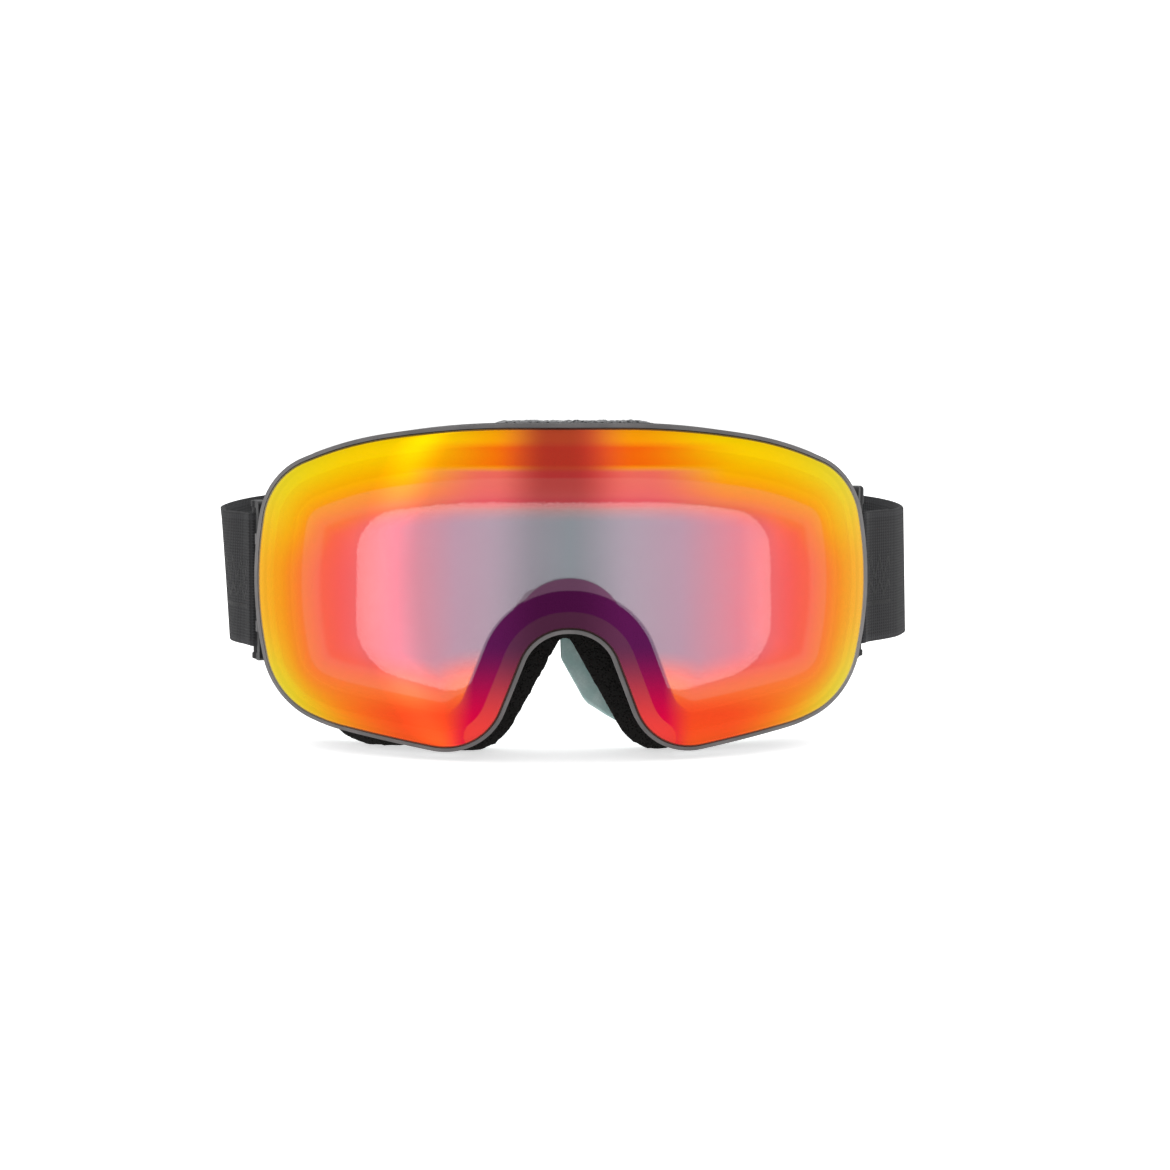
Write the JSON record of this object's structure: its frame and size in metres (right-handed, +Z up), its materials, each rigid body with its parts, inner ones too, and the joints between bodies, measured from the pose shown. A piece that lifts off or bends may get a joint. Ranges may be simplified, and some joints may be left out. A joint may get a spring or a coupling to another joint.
{
  "type": "ski goggles",
  "caption": "Ski goggles: frameless spherical mirrored double lens on a snap-off carrier, flexible vented frame, layered face foam, hinged strap arms and an elastic head strap with adjusters.",
  "frame": {"origin": "on the middle plane, at the height of the lens centre, in the surface where the face liner meets the brow", "axes": "+Z up, -Y out through the lens, +Y towards the wearer, +X to the right as seen from the front"},
  "size_m": [0.2126, 0.2057, 0.0942],
  "materials": {
    "lens_mirror": "mirror-coated polycarbonate, gloss",
    "lens_clear": "clear cellulose sheet, gloss",
    "carrier": "fine moulded texture",
    "gasket": "closed-cell foam, matt",
    "frame": "soft-touch flexible moulding",
    "vent_foam": "open reticulated foam",
    "foam": "open-cell foam with cut edges",
    "liner": "brushed fleece",
    "strap": "woven elastic",
    "silicone": "satin silicone print",
    "hard_trim": "satin moulded nylon",
    "pin_steel": "drawn steel"
  },
  "bodies": {
    "frame": {"frame_shell": "frame", "brow_vent_foam": "vent_foam", "chin_vent_foam_left": "vent_foam", "chin_vent_foam_right": "vent_foam", "foam_base": "foam", "foam_cushion": "foam", "face_liner": "liner", "arm_pin_left": "pin_steel", "arm_pin_right": "pin_steel", "strap_band": "strap", "strap_grips": "silicone", "strap_tail_left": "strap", "strap_tail_right": "strap"},
    "lens": {"outer_lens": "lens_mirror", "lens_carrier": "carrier", "lens_gasket": "gasket", "inner_lens": "lens_clear"},
    "arm_left": {"strap_arm_left": "hard_trim", "strap_end_left": "strap"},
    "arm_right": {"strap_arm_right": "hard_trim", "strap_end_right": "strap"},
    "slider_left": {"adjuster_left": "hard_trim"},
    "slider_right": {"adjuster_right": "hard_trim"}
  },
  "joints": [
    {"name": "lens_release", "type": "slide", "parent": "frame", "child": "lens", "axis": [0, -1, 0], "range_m": [0, 0.04]},
    {"name": "arm_left_swing", "type": "hinge", "parent": "frame", "child": "arm_left", "pos_m": [-0.0872, 0.0195, -0.0015], "axis": [0, 0, 1], "range_deg": [-4, 20]},
    {"name": "arm_right_swing", "type": "hinge", "parent": "frame", "child": "arm_right", "pos_m": [0.0872, 0.0195, -0.0015], "axis": [0, 0, -1], "range_deg": [-4, 20]},
    {"name": "adjuster_left_slide", "type": "hinge", "parent": "frame", "child": "slider_left", "pos_m": [0, 0.03294, -0.0015], "axis": [0, 0, -1], "range_deg": [-5, 5]},
    {"name": "adjuster_right_slide", "type": "hinge", "parent": "frame", "child": "slider_right", "pos_m": [0, 0.03294, -0.0015], "axis": [0, 0, 1], "range_deg": [-5, 5]}
  ]
}
